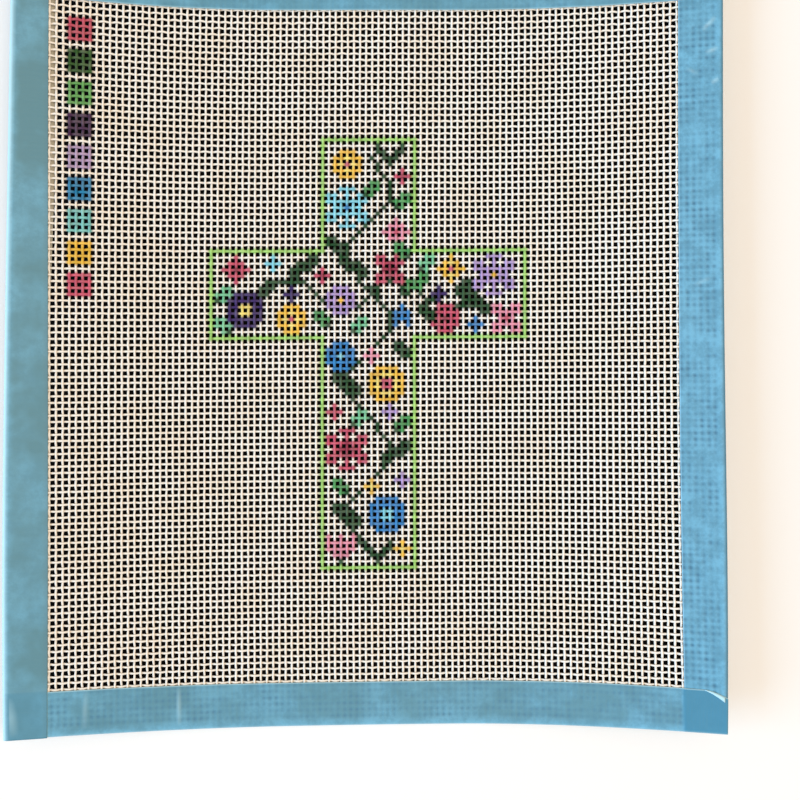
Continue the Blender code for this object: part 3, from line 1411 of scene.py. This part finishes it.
@dataclass
class EdgeTape:
    """One strip of tape folded over an edge, pressed on the weave and over its neighbour."""

    side: Side
    section: TapeSection = TapeSection()
    tape_marks: TapeMarks = TapeMarks()
    imprint: float = 0.06 * MM
    # The imprint's share where two layers lie
    layered_imprint: float = 0.12
    layer_step: float = 0.16 * MM
    layer_ramp: float = 0.5 * MM
    inside_gap: float = 0.35 * MM
    rim_width: float = 0.28 * MM
    # Beside its fold the painted shade tone is weaker: the share left there, over this width
    shade_at_fold: float = 0.25
    shade_fold_width: float = 2.6 * MM
    # How far the lip rises, or dips if below 0, and how wide a strip beside it does
    lip_lift: float = 0.0
    loose_width: float = 1.2 * MM
    samples_per_pitch: int = 4
    ripple: float = 0.035 * MM
    ripple_length: float = 14.0 * MM
    # How fast the weave's print comes in from the fold, across the face
    print_rise: float = 6.0
    # Degrees from level of the fold's outer line, and how far round it spreads
    fold_line: float = 30.0
    fold_spread: float = 35.0
    # Sizes of the patches and of the lines that were rubbed down alike
    rubbed_patch: float = 13.0 * MM
    rubbed_line: float = 1.9 * MM
    creases: tuple[Crease, ...] = ()
    seed: int = 3

    def _is_end(self) -> bool:
        """Whether the tape runs across the panel, on its top or bottom edge."""
        return self.side in (Side.TOP, Side.BOTTOM)

    def _inward(self) -> float:
        """The sign of the way from the edge to the panel's middle."""
        return 1.0 if self.side in (Side.LEFT, Side.BOTTOM) else -1.0

    def _edge(self) -> Curve:
        """The outer edge that the tape folds over."""
        return getattr(OUTLINE, self.side.value)()

    def _flap(self) -> Callable[[Array, bool], Array]:
        """The width for a place along the tape, on the face or the back."""
        return getattr(OUTLINE, f"{self.side.value}_flap")

    def _run(self, inward: Array, share: Array) -> tuple[Array, Array]:
        """Sheet places for distances in from the fold and shares of the way along.

        Args:
            inward: Distances in from the outer edge.
            share: 0 at the tape's start, 1 at its end.

        Returns:
            The places u and v.
        """
        edge = self._edge()
        sign = self._inward()
        beside = edge(0.0) + sign * inward
        if self._is_end():
            low_gap = self.inside_gap if self.side is Side.BOTTOM else 0.0
            low = OUTLINE.left()(beside) + low_gap
            high = OUTLINE.right()(beside)
            u = mix(low, high, share)
            return u, edge(u) + sign * inward
        low_gap = self.inside_gap if self.side is Side.RIGHT else 0.0
        low = OUTLINE.bottom()(beside) + low_gap
        high = OUTLINE.top()(beside) - self.inside_gap
        v = mix(low, high, share)
        return edge(v) + sign * inward, v

    def _layers(self, u: Array, v: Array, on_face: Array) -> Array:
        """1 where this tape lies over another, 0 where it lies on the canvas.

        Args:
            u: Places across the sheet.
            v: Places up the sheet.
            on_face: 1 on the face, 0 on the back.

        Returns:
            The share, with a short ramp at the lower tape's lip.
        """
        over_left = OUTLINE.left()(v) + self._reach(OUTLINE.left_flap, v, on_face) - u
        over_right = u - OUTLINE.right()(v) + self._reach(OUTLINE.right_flap, v, on_face)
        over_bottom = OUTLINE.bottom()(u) + self._reach(OUTLINE.bottom_flap, u, on_face) - v
        depths = {
            Side.RIGHT: np.full(np.shape(u), -1.0),
            Side.BOTTOM: over_right,
            Side.LEFT: over_bottom,
            Side.TOP: np.maximum(over_left, over_right),
        }
        return smooth_step(depths[self.side] / self.layer_ramp + 1.0)

    def _reach(self, flap: Callable[[Array, bool], Array], along: Array, on_face: Array) -> Array:
        """A neighbour's reach in from its fold, on the face or on the back."""
        return mix(flap(along, False), flap(along, True), on_face)

    def _weave_print(self, u: Array, v: Array, layered: Array) -> Array:
        """How far the tape sinks between the threads, where it was rubbed down.

        Args:
            u: Places across the sheet.
            v: Places up the sheet.
            layered: 1 where the tape lies over another.

        Returns:
            0 on a crossing, and about 1 over a hole.
        """
        across, up = COUNT.counted(u, v)
        on_warp = np.sin(math.pi * across) ** 2
        on_weft = np.sin(math.pi * up) ** 2
        on_thread = on_warp + on_weft - on_warp * on_weft
        sunk = (1.0 - 0.65 * on_thread - 0.35 * on_warp * on_weft) ** 1.3
        broad = SoftNoise(self.rubbed_patch, self.seed).at(u, v)
        # Rubbing along a row or a column prints it further than across it
        rows = SoftNoise(self.rubbed_line, self.seed + 2, waves=12).at(0.25 * u, v)
        columns = SoftNoise(self.rubbed_line, self.seed + 3, waves=12).at(u, 0.25 * v)
        firmness = np.clip(0.85 + 0.3 * broad + 0.35 * rows + 0.2 * columns, 0.0, 1.6)
        return sunk * firmness * mix(1.0, self.layered_imprint, layered)

    def _on_fold(self, turn: Array) -> Array:
        """1 on the fold's outer line, and 0 on the flat, for the fold's angles."""
        from_line = turn - math.radians(self.fold_line)
        return np.exp(-((from_line / math.radians(self.fold_spread)) ** 2))

    def _near_lip(self, at: TapePlaces) -> Array:
        """1 at the lip, and 0 beyond the strip beside it that may come loose."""
        return smooth_step(1.0 - at.from_lip / self.loose_width)

    def _wear_and_highlight(self, at: TapePlaces) -> Array:
        """How pale the tape is painted: a highlight at its lip and fold, and wear and highlight in
        creases.

        Args:
            at: The tape's outer points.

        Returns:
            Shares from 0 to 1.
        """
        on_face = at.face_share > 0.0
        pale_wear_and_highlight = self.tape_marks.lip * np.clip(1.0 - at.from_lip / self.rim_width, 0.0, 1.0) * on_face
        pale_wear_and_highlight = np.maximum(pale_wear_and_highlight, self.tape_marks.fold * self._on_fold(at.turn))
        for crease in self.creases:
            pale_wear_and_highlight = np.maximum(pale_wear_and_highlight, crease.pale_wear_and_highlight * crease.strength(at.u, at.v) * on_face)
        return pale_wear_and_highlight

    def _rise(self, at: TapePlaces) -> Array:
        """How far the tape stands up over a layer, in ripples, at its lip and in creases.

        Args:
            at: The tape's outer points.

        Returns:
            Heights above a tape that lies flat on the canvas.
        """
        ripples = self.ripple * SoftNoise(self.ripple_length, self.seed + 1).at(at.u, at.v)
        loose = self.lip_lift * self._near_lip(at)
        for crease in self.creases:
            loose = loose + crease.height * crease.strength(at.u, at.v)
        level = self.layer_step * at.layered + ripples * at.face_share
        return level + loose * (at.face_share > 0.0)

    def _marks(self, at: TapePlaces) -> Array:
        """The tape's marks: painted shade, painted highlight with pale wear, and two layers.

        Args:
            at: The tape's outer points.

        Returns:
            The four shares of each point, in a last axis of four.
        """
        # Painted shade on the fold and beside the lip, in the same channel as the shade over holes
        edge_shade = np.maximum(
            self.tape_marks.fold_shade * self._on_fold(at.turn),
            self.tape_marks.lip_shade * self._near_lip(at) * at.on_face,
        )
        painted_shade_tone = mix(self.shade_at_fold, 1.0, smooth_step(at.inward / self.shade_fold_width))
        marks = (
            np.maximum(self.tape_marks.shade_over_holes * at.sunk, edge_shade),
            self._wear_and_highlight(at),
            self.tape_marks.two_layers * at.layered,
            self.tape_marks.painted_shade_tone * painted_shade_tone,
        )
        return np.stack(marks, axis=-1)

    def _station_count(self) -> int:
        """How many sections the tape has along its length."""
        half = abs(OUTLINE.left()(0.0)) if self._is_end() else OUTLINE.half_height
        return int(2.0 * half / COUNT.pitch * self.samples_per_pitch) + 1

    def draft(self) -> MeshDraft:
        """Build the tape's mesh.

        Returns:
            The mesh draft.
        """
        section = self.section
        face_share, back_share, turn = section.shares()
        share = np.linspace(0.0, 1.0, self._station_count())[:, None]
        flap_place = self._run(np.zeros(1), share)[0 if self._is_end() else 1]
        flap = self._flap()(flap_place, True)
        back_flap = self._flap()(flap_place, False)
        level = section.fold_reach
        reach_in = level + face_share * (flap - level) + back_share * (back_flap - level)
        outer_in = reach_in - level * np.cos(turn)
        inner_in = reach_in - (level - section.thickness) * np.cos(turn)
        u, v = self._run(outer_in, share)
        on_face = np.where(turn > 0.0, 1.0, 0.0) + 0.0 * u
        layered = self._layers(u, v, on_face)
        sunk = self._weave_print(u, v, layered) * smooth_step(face_share * self.print_rise)
        at = TapePlaces(u, v, outer_in, flap - outer_in, face_share, turn, on_face, layered, sunk)
        height = section.outside + self._rise(at)
        outer = SHEET.place(u, v, height * np.sin(turn) - self.imprint * sunk)
        picks = section.inner_picks()
        inner_u, inner_v = self._run(inner_in, share)
        inner_lift = (height - section.thickness) * np.sin(turn)
        inner = SHEET.place(inner_u, inner_v, inner_lift)[:, picks][:, ::-1]
        points = np.concatenate([outer, inner], axis=1)
        faces, maps = self._skin(points, self._is_end() == (self._inward() > 0.0))
        inner_side = np.tile(np.arange(points.shape[1]) >= outer.shape[1], len(points) - 1)
        finishes = np.zeros(len(faces), dtype=int)
        finishes[:len(inner_side)] = inner_side
        tape_marks = self._marks(at)
        inner_marks = tape_marks[:, picks][:, ::-1] * np.array([0.0, 0.0, 1.0, 1.0])
        colours = {MARK_LAYER: np.concatenate([tape_marks, inner_marks], axis=1).reshape(-1, 4)}
        return MeshDraft(tape_piece_name(self.side), points, faces, maps, colours, finishes)

    def _skin(self, points: Array, flipped: bool) -> tuple[Faces, dict[str, Array]]:
        """Faces and corner maps of the tape.

        Args:
            points: Points for each station and each place round the section.
            flipped: Whether the section runs the other way round.

        Returns:
            The faces, and the corner maps by name.
        """
        stations, around = points.shape[:2]
        station, place = np.meshgrid(np.arange(stations - 1), np.arange(around), indexing="ij")
        station, place = station.ravel(), place.ravel()
        corner_station = station[:, None] + np.array([0, 0, 1, 1])
        corner_place = place[:, None] + np.array([0, 1, 1, 0])
        if flipped:
            corner_station = corner_station[:, ::-1]
            corner_place = corner_place[:, ::-1]
        index = corner_station * around + corner_place % around
        faces = [tuple(face) for face in index.tolist()]
        middle = points[stations // 2]
        steps = np.linalg.norm(np.roll(middle, -1, axis=0) - middle, axis=1)
        girth = np.concatenate([[0.0], np.cumsum(steps)])
        lengths = np.linalg.norm(points[1:, 0] - points[:-1, 0], axis=1)
        length = np.concatenate([[0.0], np.cumsum(lengths)])
        tape = np.stack([length[corner_station], girth[corner_place]], axis=-1).reshape(-1, 2) / MM
        bake = np.stack(
            [
                SIDES_START + SIDES_LENGTH * corner_station / (stations - 1),
                SIDES_GIRTH * girth[corner_place] / girth[-1],
            ],
            axis=-1,
        ).reshape(-1, 2)
        caps, cap_corners = self._caps(stations, around, flipped)
        flat = np.array(cap_corners)
        cap_bake = np.stack([flat[:, 0] * ENDS_LENGTH + ENDS_START, flat[:, 1]], axis=-1)
        maps = {
            TAPE_MAP: np.concatenate([tape, flat * 10.0]),
            BAKE_MAP: np.concatenate([bake, cap_bake]),
        }
        return faces + caps, maps

    def _caps(
        self, stations: int, around: int, flipped: bool
    ) -> tuple[Faces, list[tuple[float, float]]]:
        """Closed ends of the tape, a strip of small faces between the outer and inner lines.

        Args:
            stations: How many sections the tape has.
            around: How many points each section has.
            flipped: Whether the section runs the other way round.

        Returns:
            The end faces, and a place in a unit strip for each of their corners.
        """
        picks = self.section.inner_picks()
        faces = []
        corners = []
        for number, (low, high) in enumerate(zip(picks, picks[1:])):
            outer = list(range(low, high + 1))
            inner = [around - 1 - (number + 1), around - 1 - number]
            ring = outer + inner
            for end in (0, 1):
                start = end * (stations - 1) * around
                face = [start + place for place in ring]
                spots = [(float(end), place / around) for place in outer]
                spots += [(end + 0.4, high / around), (end + 0.4, low / around)]
                if (end == 1) == flipped:
                    face.reverse()
                    spots.reverse()
                faces.append(tuple(face))
                corners.extend(spots)
        return faces, corners

    def flat_size(self, points: Array) -> tuple[float, float]:
        """The tape's width before it was folded, and its length.

        Args:
            points: Its points for each station and place round the section.

        Returns:
            The width and the length.
        """
        outer = len(self.section.shares()[0])
        middle = points[len(points) // 2, :outer]
        width = float(np.linalg.norm(np.diff(middle, axis=0), axis=1).sum())
        length = float(np.linalg.norm(np.diff(points[:, outer // 2], axis=0), axis=1).sum())
        return width, length

    def dress(self, paper: Material, adhesive: Material) -> Piece:
        """Make the tape's piece, attach it to the body and hide the CAD tape it stands for.

        Args:
            paper: The finish of its outer side.
            adhesive: The finish of its inner side.

        Returns:
            The piece.
        """
        draft = self.draft()
        size = self.flat_size(draft.points)
        if self.side is Side.BOTTOM:
            draft.add(TurnedCorner(self.section.outside + self.layer_step).draft())
        piece = draft.finish(paper, adhesive)
        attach(piece, BODY)
        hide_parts(f"tape_{self.side.value}")
        return piece


@dataclass(frozen=True)
class TurnedCorner:
    """The bottom tape's corner, turned over along its lip at the right, with its pale back up."""

    lift: float
    start: float = 75.0 * MM
    end: float = 79.2 * MM
    start_width: float = 0.08 * MM
    end_width: float = 1.1 * MM
    thickness: float = 0.15 * MM
    steps: int = 12
    # How pale the back of the tape looks, as a share of the tape's pale colour
    paleness: float = 0.85

    def draft(self) -> MeshDraft:
        """Build the turned corner, a thin wedge that widens towards the panel's edge.

        Returns:
            The mesh draft, with the maps and colours of a tape.
        """
        u = np.linspace(self.start, self.end, self.steps + 1)[:, None]
        lip = OUTLINE.bottom()(u) + OUTLINE.bottom_flap(u, True)
        width = np.linspace(self.start_width, self.end_width, self.steps + 1)[:, None]
        outward = np.array([0.0, 1.0, 1.0, 0.0])
        rise = np.array([1.0, 1.0, 0.0, 0.0])
        points = SHEET.place(u, lip - width * outward, self.lift + self.thickness * rise)
        faces = [(3, 2, 1, 0)]
        spots = [(0.0, side / 4) for side in (3, 2, 1, 0)]
        for step in range(self.steps):
            for side in range(4):
                ring = ((step, side), (step, side + 1), (step + 1, side + 1), (step + 1, side))
                faces.append(tuple(along * 4 + place % 4 for along, place in ring))
                spots.extend((along / self.steps, place / 4) for along, place in ring)
        last = 4 * self.steps
        faces.append((last, last + 1, last + 2, last + 3))
        spots += [(1.0, side / 4) for side in range(4)]
        corners = np.array(spots)
        maps = {
            TAPE_MAP: corners * np.array([(self.end - self.start) / MM, 1.0]),
            BAKE_MAP: np.array(TURNED_CORNER_START) + corners * np.array(TURNED_CORNER_SIZE),
        }
        tape_marks = np.tile(np.array([0.0, self.paleness, 0.0, 0.0]), (points.shape[0] * 4, 1))
        return MeshDraft("turned_corner", points, faces, maps, {MARK_LAYER: tape_marks})


@dataclass
class TapeBinding:
    """The four tapes, in the order in which they were folded on."""

    def tapes(self) -> list[EdgeTape]:
        """The tapes, each laid over the one before."""
        return [self.right(), self.bottom(), self.left(), self.top()]

    def right(self) -> EdgeTape:
        """The right tape: rubbed down firmly, so that the weave prints through, and creased."""
        creases = (
            Crease((75.6, 69.4), (78.5, 72.2)),
            Crease((76.3, 64.2), (79.0, 65.2)),
            Crease((77.4, 57.2), (79.2, 58.3)),
            Crease((72.0, 61.0), (74.6, 59.6), pale_wear_and_highlight=0.2),
            Crease((73.4, 12.0), (76.9, 13.4), pale_wear_and_highlight=0.2),
        )
        tape_marks = TapeMarks(shade_over_holes=0.8, lip=0.45, fold_shade=1.0, painted_shade_tone=0.15)
        section = TapeSection(fold_reach=0.9 * MM)
        return EdgeTape(Side.RIGHT, section, tape_marks, imprint=0.07 * MM, creases=creases, seed=11)

    def bottom(self) -> EdgeTape:
        """The bottom tape: its right corner turned over, with two pale creases across its left."""
        creases = (
            Crease((-63.3, -78.6), (-63.6, -87.6), width=0.55 * MM, pale_wear_and_highlight=0.22),
            Crease((-42.9, -78.6), (-42.8, -87.4), width=0.5 * MM, pale_wear_and_highlight=0.3),
        )
        tape_marks = TapeMarks(shade_over_holes=0.6, lip=0.7, fold=0.3, two_layers=0.85, painted_shade_tone=0.7)
        section = TapeSection(fold_reach=0.7 * MM)
        return EdgeTape(
            Side.BOTTOM,
            section,
            tape_marks,
            imprint=0.05 * MM,
            inside_gap=0.9 * MM,
            creases=creases,
            seed=12,
        )

    def left(self) -> EdgeTape:
        """The left tape: smooth, with a lip that dips and a wide soft fold with a painted
        highlight.
        """
        # A painted highlight on the lower left corner's fold, with no wrinkle
        corner_highlight = Crease((-79.9, -79.5), (-78.6, -88.6), width=1.3 * MM, height=0.0, pale_wear_and_highlight=0.3)
        tape_marks = TapeMarks(
            shade_over_holes=0.08, lip=0.0, fold=0.9, lip_shade=0.35, two_layers=0.42, painted_shade_tone=0.95
        )
        section = TapeSection(fold_reach=1.35 * MM)
        return EdgeTape(
            Side.LEFT,
            section,
            tape_marks,
            imprint=0.01 * MM,
            lip_lift=-0.08 * MM,
            creases=(corner_highlight,),
            seed=13,
        )

    def top(self) -> EdgeTape:
        """The top tape, which the photo shows only the lip of."""
        tape_marks = TapeMarks(shade_over_holes=0.35, fold=0.2)
        return EdgeTape(Side.TOP, tape_marks=tape_marks, imprint=0.05 * MM, seed=14)

    def build(self) -> list[Piece]:
        """Make every tape.

        Returns:
            The pieces.
        """
        paper = CrepeTape().make()
        adhesive = RubberAdhesive().make()
        return [tape.dress(paper, adhesive) for tape in self.tapes()]


@dataclass(frozen=True)
class SoftLamp:
    """A square soft box that points at the panel."""

    name: str
    # Degrees round from +X, and up from level
    azimuth: float
    elevation: float
    distance: float
    size: float
    # Watts
    power: float
    colour: str

    def add(self) -> None:
        """Put the lamp in the scene."""
        lamp = bpy.data.lights.new(self.name, "AREA")
        lamp.size = self.size
        lamp.energy = self.power
        lamp.color = linear(self.colour)[:3]
        holder = bpy.data.objects.new(self.name, lamp)
        azimuth, elevation = math.radians(self.azimuth), math.radians(self.elevation)
        level = self.distance * math.cos(elevation)
        height = self.distance * math.sin(elevation)
        holder.location = (level * math.cos(azimuth), level * math.sin(azimuth), height)
        holder.rotation_euler = (-holder.location).to_track_quat("-Z", "Y").to_euler()
        bpy.context.scene.collection.objects.link(holder)


@dataclass
class Studio:
    """The floor, a dark card that paints shade into the weave's holes, the lights and the camera.
    """

    floor_size: float = 3.0
    floor_thickness: float = 10.0 * MM
    card_thickness: float = 0.3 * MM
    card_half_width: float = 75.0 * MM
    card_low: float = -81.0 * MM
    card_high: float = 81.5 * MM
    # Solved from the photograph's 10,869 hole centres, relative to the sheet's middle
    camera_place: tuple[float, float, float] = (4.56 * MM, -16.36 * MM, 183.866 * MM)
    camera_turn: tuple[float, float, float] = (0.83, -0.846, -0.01)
    world_colour: str = "#fdfcfa"
    world_strength: float = 0.51

    def lamps(self) -> list[SoftLamp]:
        """Cool daylight from a window on the left, and a warm ceiling lamp."""
        return [
            SoftLamp("window", 190.0, 22.0, 2.5, 1.7, 57.5, "#9fd5ff"),
            SoftLamp("ceiling_lamp", 0.0, 70.0, 2.0, 1.6, 23.6, "#ffe1bd"),
        ]

    def _slab(self, name: str, low: Vector, high: Vector, material: Material) -> None:
        """A flat block that isn't part of the object.

        Args:
            name: Its name.
            low: Its lowest corner.
            high: Its highest corner.
            material: Its finish.
        """
        mesh = bpy.data.meshes.new(name)
        ends = list(zip(low, high))
        corners = [(x, y, z) for x in ends[0] for y in ends[1] for z in ends[2]]
        faces = [(0, 1, 3, 2), (4, 6, 7, 5), (0, 4, 5, 1), (2, 3, 7, 6), (0, 2, 6, 4), (1, 5, 7, 3)]
        mesh.from_pydata(corners, [], faces)
        mesh.materials.append(material)
        slab = bpy.data.objects.new(name, mesh)
        bpy.context.scene.collection.objects.link(slab)

    def build(self) -> None:
        """Put the stage, lights and camera in the scene."""
        half = self.floor_size / 2
        floor_top = -self.card_thickness
        pale = MattCard("pale_floor", "#fdfdfc").make()
        dark = MattCard("painted_shade_black", "#090604").make()
        floor_low = Vector((-half, -half, floor_top - self.floor_thickness))
        self._slab("floor", floor_low, Vector((half, half, floor_top)), pale)
        # A dark card under the panel, as painted shade: the weave's holes read dark instead of
        # showing the pale floor
        self._slab(
            "painted_shade_card",
            Vector((-self.card_half_width, self.card_low, floor_top)),
            Vector((self.card_half_width, self.card_high, 0.0)),
            dark,
        )
        for lamp in self.lamps():
            lamp.add()
        self._light_the_world()
        self._add_camera()
        bpy.context.scene.view_settings.view_transform = "Standard"

    def _light_the_world(self) -> None:
        """Even light from all round."""
        world = bpy.data.worlds.new("studio")
        world.use_nodes = True
        background = world.node_tree.nodes["Background"]
        background.inputs["Color"].default_value = linear(self.world_colour)
        background.inputs["Strength"].default_value = self.world_strength
        bpy.context.scene.world = world

    def _add_camera(self) -> None:
        """The camera, at the photograph's place."""
        lens = bpy.data.cameras.new("camera")
        lens.sensor_fit = "HORIZONTAL"
        lens.sensor_width = 36.0
        lens.lens = 36.0
        lens.clip_start = 0.005
        camera = bpy.data.objects.new("camera", lens)
        middle = Vector((-SHEET.centre_x, -SHEET.centre_y, SHEET.middle_height))
        camera.location = middle + Vector(self.camera_place)
        camera.rotation_euler = Euler([math.radians(angle) for angle in self.camera_turn])
        bpy.context.scene.collection.objects.link(camera)
        bpy.context.scene.camera = camera


def main() -> None:
    """Build the panel and its studio, and report each piece."""
    logging.basicConfig(level=logging.INFO, format="%(message)s")
    pieces = WovenCanvas().build() + TapeBinding().build()
    for piece in pieces:
        log.info("%s: %d faces", piece.name, len(piece.data.polygons))
    Studio().build()


if __name__ == "__main__":
    main()
